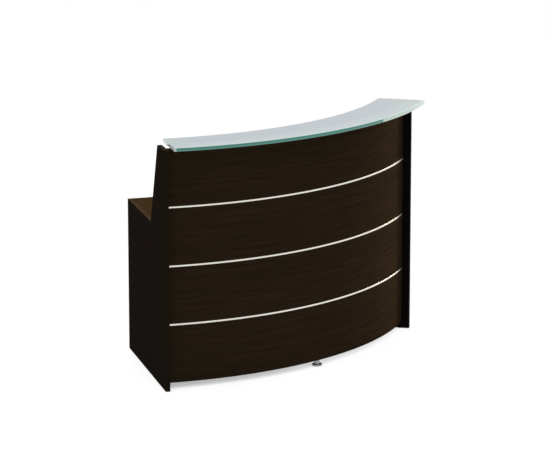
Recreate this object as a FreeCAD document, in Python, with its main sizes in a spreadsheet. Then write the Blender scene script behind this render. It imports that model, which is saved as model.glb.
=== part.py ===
import FreeCAD, Part
import os
from collections import namedtuple

import Sketcher
from FreeCAD import Placement, Rotation, Vector

# Curved reception counter, one segment of a ring in plan: a convex panelled front between two stepped
# end panels, a worksurface at desk height behind it, a glass top on steel arms, and a levelling foot
# under the middle of the front. Millimetres, +Z up, the front faces -Y. The origin lies on the floor at
# the middle of the plan's outer box. All curved pieces share one upright axis, the centre of curvature.

doc = FreeCAD.newDocument("reception_counter")

# Driving sizes: name, value, meaning. Lengths in millimetres, angles in degrees.
DIMENSIONS = (
    ("half_angle", "30", "angle from the middle to the inner face of each end panel"),
    ("front_radius", "1590", "centre of curvature to the front panels' face"),
    ("front_height", "1108", "height of the stack of front panels"),
    ("panel_pitch", "279", "height from one inlay strip to the next"),
    ("floor_gap", "32.5", "gap between the floor and the front"),
    ("desk_height", "750", "top of the worksurface"),
    ("back_radius", "823", "centre of curvature to the sitter's edge of the worksurface"),
    ("joint_gap", "0.2", "glue line between curved pieces"),
    ("fit_gap", "0.1", "radial clearance of screws, dowels and pins in their holes"),
    ("hole_spare", "1", "spare depth at the end of a blind hole"),
    ("end_thickness", "22", "end panel"),
    ("end_height", "1145", "top of the end panels"),
    ("end_projection", "38", "end panel's front edge ahead of the front panels' face"),
    ("end_top_depth", "138", "level top of the end panel"),
    ("end_slope_run", "155", "sloping edge of the end panel, in plan"),
    ("edging_thickness", "2", "edging on the end panels and the worksurface"),
    ("backing_thickness", "25", "curved board behind the front panels"),
    ("cladding_thickness", "12", "front panels"),
    ("strip_face_height", "8", "visible face of an inlay strip"),
    ("strip_face_thickness", "1.5", "inlay strip's face"),
    ("strip_web_thickness", "2", "inlay strip's web between two panels"),
    ("strip_edge", "0.5", "eased edge of the strip's face"),
    ("panel_screw_half_angle", "22.5", "outer column of panel screws, from the middle"),
    ("panel_screw_columns", "4", "columns of panel screws"),
    ("panel_screw_head_depth", "6", "seat of the panel screws below the backing's face"),
    ("panel_screw_reach", "8", "panel screws in the front panels"),
    ("cap_diameter", "13", "cover cap's flange"),
    ("cap_height", "1", "cover cap's flange"),
    ("cap_plug_length", "2.5", "cover cap's plug"),
    ("screw_diameter", "4", "wood screw's shank"),
    ("screw_head_diameter", "8", "wood screw's head"),
    ("screw_head_height", "3", "wood screw's head"),
    ("screw_head_depth", "4", "seat of a wood screw below the face of its batten or ledger"),
    ("screw_reach", "14", "wood screw in the board behind its batten or ledger"),
    ("dowel_diameter", "8", "dowel between backing and end panel"),
    ("dowel_in_end", "13", "dowel's length in the end panel"),
    ("dowel_in_front", "25", "dowel's length in the backing"),
    ("batten_width", "25", "square corner batten"),
    ("batten_top_gap", "10", "gap between a corner batten and the worksurface's ledger"),
    ("worksurface_thickness", "25", "worksurface"),
    ("ledger_height", "40", "ledger under the worksurface"),
    ("ledger_depth", "25", "ledger under the worksurface"),
    ("side_ledger_back_inset", "60", "side ledger's back end from the worksurface's edge"),
    ("side_ledger_front_inset", "90", "side ledger's front end from the backing"),
    ("front_ledger_end_gap", "60", "front ledger's ends from the end panels"),
    ("ledger_screw_half_angle", "24", "outer screw of the front ledger into the backing"),
    ("ledger_screw_count", "5", "screws of the front ledger into the backing"),
    ("top_screw_half_angle", "18", "outer screw of the front ledger into the worksurface"),
    ("top_screw_count", "4", "screws of the front ledger into the worksurface"),
    ("top_screw_head_depth", "12", "seat of the worksurface's screws above the ledger's lower face"),
    ("glass_width", "235", "glass top across the counter"),
    ("glass_overhang", "110", "glass top ahead of the front panels' face"),
    ("glass_thickness", "16.4", "glass top, two sheets bonded to one"),
    ("glass_gap", "12", "gap between the front's top and the glass"),
    ("glass_end_gap", "11", "gap between the glass and the plane of an end panel's inner face"),
    ("glass_corner_radius", "8", "glass top's corners in plan"),
    ("glass_arris", "1", "ground edge of the glass"),
    ("arm_half_angle", "24", "outer glass arm, from the middle"),
    ("arm_count", "5", "glass arms"),
    ("arm_length", "120", "glass arm across the counter"),
    ("arm_inset", "100", "glass arm's front end behind the glass's front edge"),
    ("arm_width", "36", "glass arm"),
    ("arm_thickness", "6", "glass arm"),
    ("arm_corner", "6", "cut corner of a glass arm"),
    ("arm_screw_spacing", "20", "two screws of a glass arm"),
    ("arm_screw_diameter", "5", "glass arm's screw"),
    ("arm_screw_head_diameter", "9", "glass arm's screw"),
    ("arm_screw_head_height", "4", "glass arm's screw"),
    ("arm_screw_reach", "35", "glass arm's screw in the backing"),
    ("glass_pad_diameter", "24", "soft pad between arm and glass"),
    ("glass_pad_inset", "18", "middle of a pad from the arm's end"),
    ("foot_pad_diameter", "45", "floor pad under the foot"),
    ("foot_pad_thickness", "2", "floor pad under the foot"),
    ("foot_boss_diameter", "16", "boss on the floor pad that the flange turns on"),
    ("foot_boss_height", "2", "boss on the floor pad"),
    ("foot_flange_diameter", "50", "foot's flange"),
    ("foot_flange_height", "7", "foot's flange"),
    ("foot_flange_rounding", "3", "upper rim of the flange"),
    ("foot_barrel_diameter", "26", "foot's barrel"),
    ("foot_barrel_edge", "1", "eased ends of the barrel"),
    ("foot_run_gap", "0.05", "radial running clearance on the stud and the boss"),
    ("foot_turn_gap", "0.1", "axial running clearance between flange and pad"),
    ("foot_top_gap", "0.2", "clearance between the barrel and the plate when screwed right up"),
    ("stud_diameter", "10", "threaded stud"),
    ("stud_rise", "20", "stud's length in the backing"),
    ("stud_end_gap", "1", "stud's lower end above the floor pad's boss"),
    ("plate_length", "80", "plate that holds the stud"),
    ("plate_width", "24", "plate that holds the stud"),
    ("plate_thickness", "3", "plate that holds the stud"),
    ("plate_screw_spacing", "60", "two screws of the plate"),
    ("plate_screw_head_height", "2", "plate's screws"),
    ("plate_screw_reach", "25", "plate's screws in the backing"),
    ("glide_diameter", "18", "floor glide"),
    ("glide_height", "2", "floor glide"),
    ("glide_pin_diameter", "5", "pin of a floor glide"),
    ("glide_pin_length", "18", "pin of a floor glide"),
    ("glide_inset", "45", "middle of a glide from the end panel's edge"),
)

# Worked-out sizes and places, from the driving sizes.
PLACES = (
    ("front_top", "=dims.floor_gap + dims.front_height"),
    ("end_front", "=dims.front_radius + dims.end_projection"),
    ("cladding_inner", "=dims.front_radius - dims.cladding_thickness"),
    ("backing_outer", "=cladding_inner - dims.joint_gap"),
    ("backing_inner", "=backing_outer - dims.backing_thickness"),
    ("backing_middle", "=backing_inner + dims.backing_thickness / 2"),
    ("front_half_angle", "=dims.half_angle - dims.joint_gap / dims.front_radius * 180 / pi"),
    ("top_back_radius", "=end_front - dims.end_top_depth"),
    ("notch_radius", "=top_back_radius - dims.end_slope_run"),
    ("edge_slope", "=dims.end_slope_run / (dims.end_height - dims.desk_height)"),
    ("edge_shift", "=dims.edging_thickness * sqrt(1 + edge_slope ^ 2)"),
    ("core_top", "=dims.end_height - dims.edging_thickness"),
    ("core_desk", "=dims.desk_height - dims.edging_thickness"),
    ("core_back", "=dims.back_radius + dims.edging_thickness"),
    ("core_front", "=end_front - dims.edging_thickness"),
    ("core_top_back", "=top_back_radius - dims.edging_thickness * edge_slope + edge_shift"),
    ("core_notch", "=notch_radius - dims.edging_thickness * edge_slope + edge_shift"),
    ("strip_seat", "=dims.front_radius + dims.joint_gap"),
    ("strip_front", "=strip_seat + dims.strip_face_thickness"),
    ("strip_web_inner", "=cladding_inner + dims.joint_gap"),
    ("panel_joint", "=dims.strip_web_thickness / 2 + dims.joint_gap"),
    ("panel_screw_seat", "=backing_inner + dims.panel_screw_head_depth"),
    ("cap_seat", "=backing_inner - dims.joint_gap"),
    ("work_inner", "=core_back + dims.joint_gap"),
    ("work_outer", "=backing_inner - dims.joint_gap"),
    ("work_bottom", "=dims.desk_height - dims.worksurface_thickness"),
    ("ledger_bottom", "=work_bottom - dims.ledger_height"),
    ("ledger_middle", "=work_bottom - dims.ledger_height / 2"),
    ("ledger_inner", "=work_outer - dims.ledger_depth"),
    ("ledger_half_angle", "=dims.half_angle - dims.front_ledger_end_gap / dims.front_radius * 180 / pi"),
    ("side_ledger_back", "=dims.back_radius + dims.side_ledger_back_inset"),
    ("side_ledger_front", "=backing_inner - dims.side_ledger_front_inset"),
    ("batten_front", "=sqrt(backing_inner ^ 2 - dims.batten_width ^ 2) - dims.joint_gap"),
    ("batten_back", "=batten_front - dims.batten_width"),
    ("batten_top", "=ledger_bottom - dims.batten_top_gap"),
    ("batten_height", "=batten_top - dims.floor_gap"),
    ("glass_outer", "=dims.front_radius + dims.glass_overhang"),
    ("glass_inner", "=glass_outer - dims.glass_width"),
    ("glass_bottom", "=front_top + dims.glass_gap"),
    ("glass_top", "=glass_bottom + dims.glass_thickness"),
    ("glass_half_angle", "=dims.half_angle - dims.glass_end_gap / dims.front_radius * 180 / pi"),
    ("arm_front", "=glass_outer - dims.arm_inset"),
    ("arm_back", "=arm_front - dims.arm_length"),
    ("arm_top", "=front_top + dims.arm_thickness"),
    ("plate_bottom", "=dims.floor_gap - dims.plate_thickness"),
    ("flange_bottom", "=dims.foot_pad_thickness + dims.foot_turn_gap"),
    ("flange_top", "=flange_bottom + dims.foot_flange_height"),
    ("boss_top", "=dims.foot_pad_thickness + dims.foot_boss_height"),
    ("back_edge", "=dims.back_radius * cos(dims.half_angle) - dims.end_thickness * sin(dims.half_angle)"),
    ("centre_y", "=(glass_outer + back_edge) / 2"),
    ("foot_y", "=centre_y - backing_middle"),
)


def fill_sheet(name, cells):
    """Spreadsheet with one named cell in each row."""
    sheet = doc.addObject("Spreadsheet::Sheet", name)
    for row, (alias, text, *note) in enumerate(cells, start=1):
        sheet.set(f"A{row}", " ".join(note))
        sheet.set(f"B{row}", text)
        sheet.setAlias(f"B{row}", alias)
    return sheet


dims = fill_sheet("dims", DIMENSIONS)
places = fill_sheet("places", PLACES)
doc.recompute()

QUARTER_TURN = 90
PANEL_NAMES = ("bottom", "lower", "upper", "top")
STRIP_NAMES = ("lower", "middle", "upper")
SIDES = {"left": -1, "right": 1}
PANEL_ROW_SHARES = (0.2, 0.8)
DOWEL_HEIGHT_SHARES = (0.08, 0.29, 0.5, 0.71, 0.92)
BATTEN_END_SCREW_SHARES = (0.1, 0.47, 0.84)
BATTEN_FRONT_SCREW_SHARES = (0.16, 0.53, 0.9)
LEDGER_END_SCREW_SHARES = (0.1, 0.5, 0.9)
LEDGER_TOP_SCREW_SHARES = (0.3, 0.7)

Screw = namedtuple("Screw", "shank_diameter shank_length head_diameter head_height")
parts = {}


def value(text):
    """Number that an expression gives with the sizes as they stand."""
    return float(dims.evalExpression(text))


def new_frame(name, angle="0", centre="places.centre_y"):
    """Body whose Z is the upright axis and whose X is the radius at an angle from the middle."""
    body = doc.addObject("PartDesign::Body", name)
    body.AllowCompound = True
    body.Placement = Placement(Vector(), Rotation(Vector(0, 0, 1), -QUARTER_TURN))
    body.setExpression("Placement.Base.y", centre)
    body.setExpression("Placement.Rotation.Angle", f"{angle} - {QUARTER_TURN}")
    return body


def end_angle(side):
    """Angle of an end panel's inner face, side -1 for left and 1 for right."""
    return f"{side} * dims.half_angle"


def origin_feature(body, role):
    """Plane or axis of a body's own origin."""
    return next(item for item in body.Origin.OriginFeatures if item.Role == role)


def new_sketch(body, role, lift="0"):
    """Sketch on one of the body's origin planes, moved along the plane's normal."""
    sketch = body.newObject("Sketcher::SketchObject", f"{body.Name}_sketch")
    sketch.AttachmentSupport = (origin_feature(body, role), [""])
    sketch.MapMode = "FlatFace"
    sketch.setExpression("AttachmentOffset.Base.z", lift)
    return sketch


def bind(sketch, constraint, text):
    """Add a size to a sketch and tie it to an expression."""
    index = sketch.addConstraint(constraint)
    name = f"size_{index}"
    sketch.renameConstraint(index, name)
    sketch.setExpression(f"Constraints.{name}", text)


def fix_point(sketch, geometry, corner, across, up):
    """Tie a point to the sketch's origin by two expressions."""
    for kind, axis, text in (("DistanceX", -2, across), ("DistanceY", -1, up)):
        if text == "0":
            sketch.addConstraint(Sketcher.Constraint("PointOnObject", geometry, corner, axis))
        else:
            bind(sketch, Sketcher.Constraint(kind, -1, 1, geometry, corner, value(text)), text)


def draw_outline(sketch, points):
    """Closed outline of straight lines through points given as pairs of expressions."""
    corners = [Vector(value(across), value(up), 0) for across, up in points]
    lines = []
    for start, end in zip(corners, corners[1:] + corners[:1]):
        lines.append(sketch.addGeometry(Part.LineSegment(start, end), False))
    for line, following, point in zip(lines, lines[1:] + lines[:1], points[1:] + points[:1]):
        sketch.addConstraint(Sketcher.Constraint("Coincident", line, 2, following, 1))
        fix_point(sketch, following, 1, *point)


def box_outline(left, right, low, high):
    """Four corners of an upright rectangle."""
    return [(left, low), (right, low), (right, high), (left, high)]


def revolve(body, points, angle):
    """Turn an outline in the body's XZ plane about Z, by equal angles to both sides."""
    sketch = new_sketch(body, "XZ_Plane")
    draw_outline(sketch, points)
    turned = body.newObject("PartDesign::Revolution", f"{body.Name}_revolution")
    turned.Profile = (sketch, [""])
    turned.ReferenceAxis = (sketch, ["V_Axis"])
    turned.Midplane = True
    turned.setExpression("Angle", angle)
    return body


def extrude(body, sketch, length, backwards=False):
    """Pad a sketch along its normal, or against it."""
    pad = body.newObject("PartDesign::Pad", f"{body.Name}_pad")
    pad.Profile = (sketch, [""])
    pad.setExpression("Length", length)
    pad.Reversed = backwards
    return pad


def sector(name, points, half_angle="places.front_half_angle"):
    """Curved piece round the centre of curvature."""
    return revolve(new_frame(name), points, f"2 * {half_angle}")


def turned_piece(name, points):
    """Round piece on the foot's axis."""
    return revolve(new_frame(name, centre="places.foot_y"), points, f"4 * {QUARTER_TURN}")


def side_board(name, side, points, thickness, inward):
    """Flat piece on an end panel's inner face plane, to the inside or to the outside."""
    body = new_frame(name, end_angle(side))
    sketch = new_sketch(body, "XZ_Plane")
    draw_outline(sketch, points)
    extrude(body, sketch, thickness, backwards=(side > 0) != inward)
    return body


def add_rods(body, role, centres, diameter, start, length, backwards=False):
    """Round rods with their centres on one of the body's planes."""
    sketch = new_sketch(body, role, start)
    for across, up in centres:
        middle = Vector(value(across), value(up), 0)
        circle = Part.Circle(middle, Vector(0, 0, 1), value(diameter) / 2)
        geometry = sketch.addGeometry(circle, False)
        fix_point(sketch, geometry, 3, across, up)
        bind(sketch, Sketcher.Constraint("Diameter", geometry, value(diameter)), diameter)
    return extrude(body, sketch, length, backwards)


def add_screws(body, role, centres, seat, screw, backwards=False):
    """Shanks ahead of the seat and heads behind it."""
    shanks = add_rods(body, role, centres, screw.shank_diameter, seat, screw.shank_length, backwards)
    heads = add_rods(body, role, centres, screw.head_diameter, seat, screw.head_height, not backwards)
    return [shanks, heads]


def hole_for(screw, head_depth):
    """Drilled hole that takes a screw, open at the head's side."""
    return Screw(
        f"{screw.shank_diameter} + 2 * dims.fit_gap",
        f"{screw.shank_length} + dims.hole_spare",
        f"{screw.head_diameter} + 2 * dims.fit_gap",
        f"{head_depth} + dims.hole_spare",
    )


def spread(body, features, half_angle, count):
    """Repeat features round the upright axis, from one outer place to the other."""
    pattern = body.newObject("PartDesign::PolarPattern", f"{body.Name}_pattern")
    pattern.Originals = features
    pattern.Axis = (origin_feature(body, "Z_Axis"), [""])
    pattern.setExpression("Angle", f"2 * {half_angle}")
    pattern.setExpression("Occurrences", count)
    body.Tip = pattern
    return body


def screw_ring(name, role, centres, seat, screw, half_angle, count, backwards=False):
    """Screws, or the holes for them, repeated along the curve."""
    body = new_frame(name, f"-{half_angle}")
    features = add_screws(body, role, centres, seat, screw, backwards)
    return spread(body, features, half_angle, count)


def keep(label, piece):
    """Name a finished piece; the name is also its file's name."""
    piece.Label = label
    parts[label] = piece
    return piece


def group(label, pieces):
    """Like pieces that share one name."""
    compound = doc.addObject("Part::Compound", f"{label}_group")
    compound.Links = pieces
    return keep(label, compound)


def drill(label, board, holes):
    """Board with holes cut out of it."""
    tools = doc.addObject("Part::Compound", f"{label}_holes")
    tools.Links = holes
    cut = doc.addObject("Part::Cut", f"{label}_drilled")
    cut.Base = board
    cut.Tool = tools
    return keep(label, cut)


def is_upright(edge):
    """True for an edge that climbs more than it runs."""
    return edge.BoundBox.ZLength > edge.Length / 2


def is_level(edge):
    """True for an edge that keeps its height."""
    return not is_upright(edge)


def ease_edges(body, kind, size_name, size, test):
    """Round or chamfer the edges of a body that pass a test."""
    doc.recompute()
    base = body.Tip
    names = [f"Edge{number}" for number, edge in enumerate(base.Shape.Edges, start=1) if test(edge)]
    eased = body.newObject(f"PartDesign::{kind}", f"{body.Name}_{kind.lower()}")
    eased.Base = (base, names)
    eased.setExpression(size_name, size)
    return body


def share_of(low, length, share):
    """Place at a share of a length above a lower end."""
    return f"{low} + {share} * ({length})"


# Fasteners
# Each kind has its screws and the holes for them, which the boards below take from the same places.

panel_levels = [share_of("dims.floor_gap", "dims.panel_pitch", row) for row in range(len(PANEL_NAMES))]
panel_levels.append("places.front_top")
panel_rows = []
for low, high in zip(panel_levels, panel_levels[1:]):
    for row_share in PANEL_ROW_SHARES:
        panel_rows.append(("0", share_of(low, f"{high} - ({low})", row_share)))

panel_screw = Screw(
    "dims.screw_diameter",
    "places.cladding_inner + dims.panel_screw_reach - places.panel_screw_seat",
    "dims.screw_head_diameter",
    "dims.screw_head_height",
)
panel_ring = ("dims.panel_screw_half_angle", "dims.panel_screw_columns")
panel_screws = screw_ring(
    "panel_screw_bodies", "YZ_Plane", panel_rows, "places.panel_screw_seat", panel_screw, *panel_ring)
panel_holes = screw_ring(
    "panel_screw_cutters", "YZ_Plane", panel_rows, "places.panel_screw_seat",
    hole_for(panel_screw, "dims.panel_screw_head_depth"), *panel_ring)
keep("front_panel_screws", panel_screws)

cover_cap = Screw(
    "dims.screw_head_diameter",
    "dims.cap_plug_length + dims.joint_gap",
    "dims.cap_diameter",
    "dims.cap_height",
)
cover_caps = screw_ring(
    "cap_bodies", "YZ_Plane", panel_rows, "places.cap_seat", cover_cap, *panel_ring)
keep("screw_cover_caps", cover_caps)

wood_screw_head = ("dims.screw_head_diameter", "dims.screw_head_height")
ledger_screw = Screw(
    "dims.screw_diameter",
    "dims.ledger_depth - dims.screw_head_depth + dims.joint_gap + dims.screw_reach",
    *wood_screw_head,
)
ledger_ring = ("dims.ledger_screw_half_angle", "dims.ledger_screw_count")
ledger_seat = "places.ledger_inner + dims.screw_head_depth"
ledger_row = [("0", "places.ledger_middle")]
front_ledger_screws = screw_ring(
    "front_ledger_screw_bodies", "YZ_Plane", ledger_row, ledger_seat, ledger_screw, *ledger_ring)
front_ledger_holes = screw_ring(
    "front_ledger_screw_cutters", "YZ_Plane", ledger_row, ledger_seat,
    hole_for(ledger_screw, "dims.screw_head_depth"), *ledger_ring)

top_screw = Screw(
    "dims.screw_diameter",
    "dims.ledger_height - dims.top_screw_head_depth + dims.screw_reach",
    *wood_screw_head,
)
top_ring = ("dims.top_screw_half_angle", "dims.top_screw_count")
top_seat = "places.ledger_bottom + dims.top_screw_head_depth"
top_row = [("places.ledger_inner + dims.ledger_depth / 2", "0")]
front_top_screws = screw_ring(
    "front_top_screw_bodies", "XY_Plane", top_row, top_seat, top_screw, *top_ring)
front_top_holes = screw_ring(
    "front_top_screw_cutters", "XY_Plane", top_row, top_seat,
    hole_for(top_screw, "dims.top_screw_head_depth"), *top_ring)

arm_screw = Screw(
    "dims.arm_screw_diameter",
    "dims.arm_thickness - dims.arm_screw_head_height + dims.arm_screw_reach",
    "dims.arm_screw_head_diameter",
    "dims.arm_screw_head_height",
)
arm_ring = ("dims.arm_half_angle", "dims.arm_count")
arm_seat = "places.arm_top - dims.arm_screw_head_height"
arm_screw_places = [
    ("places.backing_middle", "-dims.arm_screw_spacing / 2"),
    ("places.backing_middle", "dims.arm_screw_spacing / 2"),
]
arm_screws = screw_ring(
    "arm_screw_bodies", "XY_Plane", arm_screw_places, arm_seat, arm_screw, *arm_ring, backwards=True)
arm_holes = screw_ring(
    "arm_screw_cutters", "XY_Plane", arm_screw_places, arm_seat,
    hole_for(arm_screw, "dims.arm_screw_head_height"), *arm_ring, backwards=True)
keep("glass_arm_screws", arm_screws)


def side_screws(name, side, screw, batten_screw):
    """Screws or holes of one end: ledger and batten into the end panel, and batten into the backing."""
    body = new_frame(name, end_angle(side))
    outward = side > 0
    ledger_length = "places.side_ledger_front - places.side_ledger_back"
    ledger_centres = []
    for end_share in LEDGER_END_SCREW_SHARES:
        along = share_of("places.side_ledger_back", ledger_length, end_share)
        ledger_centres.append((along, "places.ledger_middle"))
    seat = f"{side} * (dims.ledger_depth - dims.screw_head_depth)"
    add_screws(body, "XZ_Plane", ledger_centres, seat, screw, outward)
    batten_centres = []
    for end_share in BATTEN_END_SCREW_SHARES:
        height = share_of("dims.floor_gap", "places.batten_height", end_share)
        batten_centres.append(("places.batten_back + dims.batten_width / 2", height))
    batten_seat = f"{side} * (dims.batten_width - dims.screw_head_depth)"
    add_screws(body, "XZ_Plane", batten_centres, batten_seat, batten_screw, outward)
    backing_centres = []
    for front_share in BATTEN_FRONT_SCREW_SHARES:
        height = share_of("dims.floor_gap", "places.batten_height", front_share)
        backing_centres.append((f"{-side} * dims.batten_width / 2", height))
    backing_seat = "places.batten_back + dims.screw_head_depth"
    add_screws(body, "YZ_Plane", backing_centres, backing_seat, batten_screw)
    return body


def side_top_screws(name, side, screw):
    """Screws or holes of one side ledger into the worksurface."""
    body = new_frame(name, end_angle(side))
    ledger_length = "places.side_ledger_front - places.side_ledger_back"
    centres = []
    for top_share in LEDGER_TOP_SCREW_SHARES:
        along = share_of("places.side_ledger_back", ledger_length, top_share)
        centres.append((along, f"{-side} * dims.ledger_depth / 2"))
    add_screws(body, "XY_Plane", centres, top_seat, screw)
    return body


def dowels(name, side, diameter, spare):
    """Dowels or holes between one end of the backing and its end panel."""
    body = new_frame(name, end_angle(side))
    centres = []
    for height_share in DOWEL_HEIGHT_SHARES:
        height = share_of("dims.floor_gap", "dims.front_height", height_share)
        centres.append(("places.backing_middle", height))
    start = f"{-side} * (dims.dowel_in_end + {spare})"
    length = f"dims.dowel_in_end + dims.dowel_in_front + 2 * {spare}"
    add_rods(body, "XZ_Plane", centres, diameter, start, length, backwards=side < 0)
    return body


def glides(name, side, glide):
    """Floor glides or their pin holes under one end panel."""
    body = new_frame(name, end_angle(side))
    across = f"{side} * dims.end_thickness / 2"
    centres = [
        ("dims.back_radius + dims.glide_inset", across),
        ("places.end_front - dims.glide_inset", across),
    ]
    add_screws(body, "XY_Plane", centres, "dims.glide_height", glide)
    return body


side_screw = Screw(
    "dims.screw_diameter",
    "dims.ledger_depth - dims.screw_head_depth + dims.screw_reach",
    *wood_screw_head,
)
batten_screw = Screw(
    "dims.screw_diameter",
    "dims.batten_width - dims.screw_head_depth + dims.screw_reach",
    *wood_screw_head,
)
floor_glide = Screw(
    "dims.glide_pin_diameter",
    "dims.glide_pin_length",
    "dims.glide_diameter",
    "dims.glide_height",
)
side_hole = hole_for(side_screw, "dims.screw_head_depth")
batten_hole = hole_for(batten_screw, "dims.screw_head_depth")
top_hole = hole_for(top_screw, "dims.top_screw_head_depth")
glide_hole = hole_for(floor_glide, "dims.glide_height")

side_sets = {"screws": [], "top_screws": [], "dowels": [], "glides": []}
side_holes = {}
for word, side in SIDES.items():
    side_sets["screws"].append(side_screws(f"{word}_screw_bodies", side, side_screw, batten_screw))
    side_sets["top_screws"].append(side_top_screws(f"{word}_top_screw_bodies", side, top_screw))
    side_sets["dowels"].append(dowels(f"{word}_dowel_bodies", side, "dims.dowel_diameter", "0"))
    side_sets["glides"].append(glides(f"{word}_glide_bodies", side, floor_glide))
    side_holes[word] = {
        "screws": side_screws(f"{word}_screw_cutters", side, side_hole, batten_hole),
        "top_screws": side_top_screws(f"{word}_top_screw_cutters", side, top_hole),
        "dowels": dowels(
            f"{word}_dowel_cutters", side, "dims.dowel_diameter + 2 * dims.fit_gap", "dims.hole_spare"),
        "glides": glides(f"{word}_glide_cutters", side, glide_hole),
    }
group("frame_screws", side_sets["screws"] + [front_ledger_screws])
group("worksurface_screws", side_sets["top_screws"] + [front_top_screws])
group("front_dowels", side_sets["dowels"])
group("floor_glides", side_sets["glides"])

# Levelling foot
# The flange and barrel turn together on the stud; the floor pad goes up and down with them.

keep("foot_pad", turned_piece("foot_pad_body", [
    ("0", "0"),
    ("dims.foot_pad_diameter / 2", "0"),
    ("dims.foot_pad_diameter / 2", "dims.foot_pad_thickness"),
    ("dims.foot_boss_diameter / 2", "dims.foot_pad_thickness"),
    ("dims.foot_boss_diameter / 2", "places.boss_top"),
    ("0", "places.boss_top"),
]))
stud_bore = "dims.stud_diameter / 2 + dims.foot_run_gap"
boss_bore = "dims.foot_boss_diameter / 2 + dims.foot_run_gap"
boss_recess_top = "places.boss_top + dims.foot_turn_gap"
flange_rim = "dims.foot_flange_diameter / 2"
foot_flange = turned_piece("foot_flange_body", [
    (boss_bore, "places.flange_bottom"),
    (flange_rim, "places.flange_bottom"),
    (flange_rim, "places.flange_top"),
    (stud_bore, "places.flange_top"),
    (stud_bore, boss_recess_top),
    (boss_bore, boss_recess_top),
])
doc.recompute()
rim_box = foot_flange.Tip.Shape.BoundBox


def is_upper_rim(edge):
    """True for the flange's outer upper edge."""
    return edge.BoundBox.ZMin > rim_box.Center.z and edge.BoundBox.XLength > rim_box.XLength * 0.9


ease_edges(foot_flange, "Fillet", "Radius", "dims.foot_flange_rounding", is_upper_rim)
keep("foot_flange", foot_flange)
barrel_wall = "dims.foot_barrel_diameter / 2"
barrel_top = "places.plate_bottom - dims.foot_top_gap"
keep("foot_barrel", turned_piece("foot_barrel_body", [
    (stud_bore, "places.flange_top"),
    (f"{barrel_wall} - dims.foot_barrel_edge", "places.flange_top"),
    (barrel_wall, "places.flange_top + dims.foot_barrel_edge"),
    (barrel_wall, f"{barrel_top} - dims.foot_barrel_edge"),
    (f"{barrel_wall} - dims.foot_barrel_edge", barrel_top),
    (stud_bore, barrel_top),
]))
stud_bottom = "places.boss_top + dims.stud_end_gap"
stud_top = "dims.floor_gap + dims.stud_rise"
keep("foot_stud", turned_piece("foot_stud_body", [
    ("0", stud_bottom),
    ("dims.stud_diameter / 2", stud_bottom),
    ("dims.stud_diameter / 2", stud_top),
    ("0", stud_top),
]))
stud_hole = turned_piece("foot_stud_cutter", [
    ("0", stud_bottom),
    ("dims.stud_diameter / 2 + dims.fit_gap", stud_bottom),
    ("dims.stud_diameter / 2 + dims.fit_gap", f"{stud_top} + dims.hole_spare"),
    ("0", f"{stud_top} + dims.hole_spare"),
])

plate_screw = Screw(
    "dims.screw_diameter",
    "dims.plate_thickness + dims.plate_screw_reach",
    "dims.screw_head_diameter",
    "dims.plate_screw_head_height",
)
plate_screw_places = [("0", "-dims.plate_screw_spacing / 2"), ("0", "dims.plate_screw_spacing / 2")]


def plate_screws(name, screw):
    """Screws of the foot's plate, or the holes for them."""
    body = new_frame(name, centre="places.foot_y")
    add_screws(body, "XY_Plane", plate_screw_places, "places.plate_bottom", screw)
    return body


plate_holes = plate_screws("plate_screw_cutters", hole_for(plate_screw, "dims.plate_screw_head_height"))
keep("foot_plate_screws", plate_screws("plate_screw_bodies", plate_screw))

plate_board = new_frame("foot_plate_board", centre="places.foot_y")
plate_sketch = new_sketch(plate_board, "XY_Plane", "places.plate_bottom")
draw_outline(plate_sketch, box_outline(
    "-dims.plate_width / 2", "dims.plate_width / 2", "-dims.plate_length / 2", "dims.plate_length / 2"))
extrude(plate_board, plate_sketch, "dims.plate_thickness")
drill("foot_plate", plate_board, [stud_hole, plate_holes])

# Front

all_side_screws = [side_holes[word]["screws"] for word in SIDES]
all_dowel_holes = [side_holes[word]["dowels"] for word in SIDES]
backing_board = sector("front_backing_board", box_outline(
    "places.backing_inner", "places.backing_outer", "dims.floor_gap", "places.front_top"))
drill("front_backing", backing_board, [
    panel_holes, front_ledger_holes, arm_holes, stud_hole, plate_holes, *all_side_screws, *all_dowel_holes])

last_panel = len(PANEL_NAMES) - 1
for number, name in enumerate(PANEL_NAMES):
    low, high = panel_levels[number:number + 2]
    panel_low = low if number == 0 else f"{low} + places.panel_joint"
    panel_high = high if number == last_panel else f"{high} - places.panel_joint"
    panel_board = sector(f"front_panel_{name}_board", box_outline(
        "places.cladding_inner", "dims.front_radius", panel_low, panel_high))
    drill(f"front_panel_{name}", panel_board, [panel_holes])

half_face = "dims.strip_face_height / 2"
half_web = "dims.strip_web_thickness / 2"
for level, name in zip(panel_levels[1:], STRIP_NAMES):
    keep(f"inlay_strip_{name}", sector(f"inlay_strip_{name}_bar", [
        ("places.strip_web_inner", f"{level} - {half_web}"),
        ("places.strip_seat", f"{level} - {half_web}"),
        ("places.strip_seat", f"{level} - {half_face}"),
        ("places.strip_front - dims.strip_edge", f"{level} - {half_face}"),
        ("places.strip_front", f"{level} - {half_face} + dims.strip_edge"),
        ("places.strip_front", f"{level} + {half_face} - dims.strip_edge"),
        ("places.strip_front - dims.strip_edge", f"{level} + {half_face}"),
        ("places.strip_seat", f"{level} + {half_face}"),
        ("places.strip_seat", f"{level} + {half_web}"),
        ("places.strip_web_inner", f"{level} + {half_web}"),
    ]))

# Ends

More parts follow.
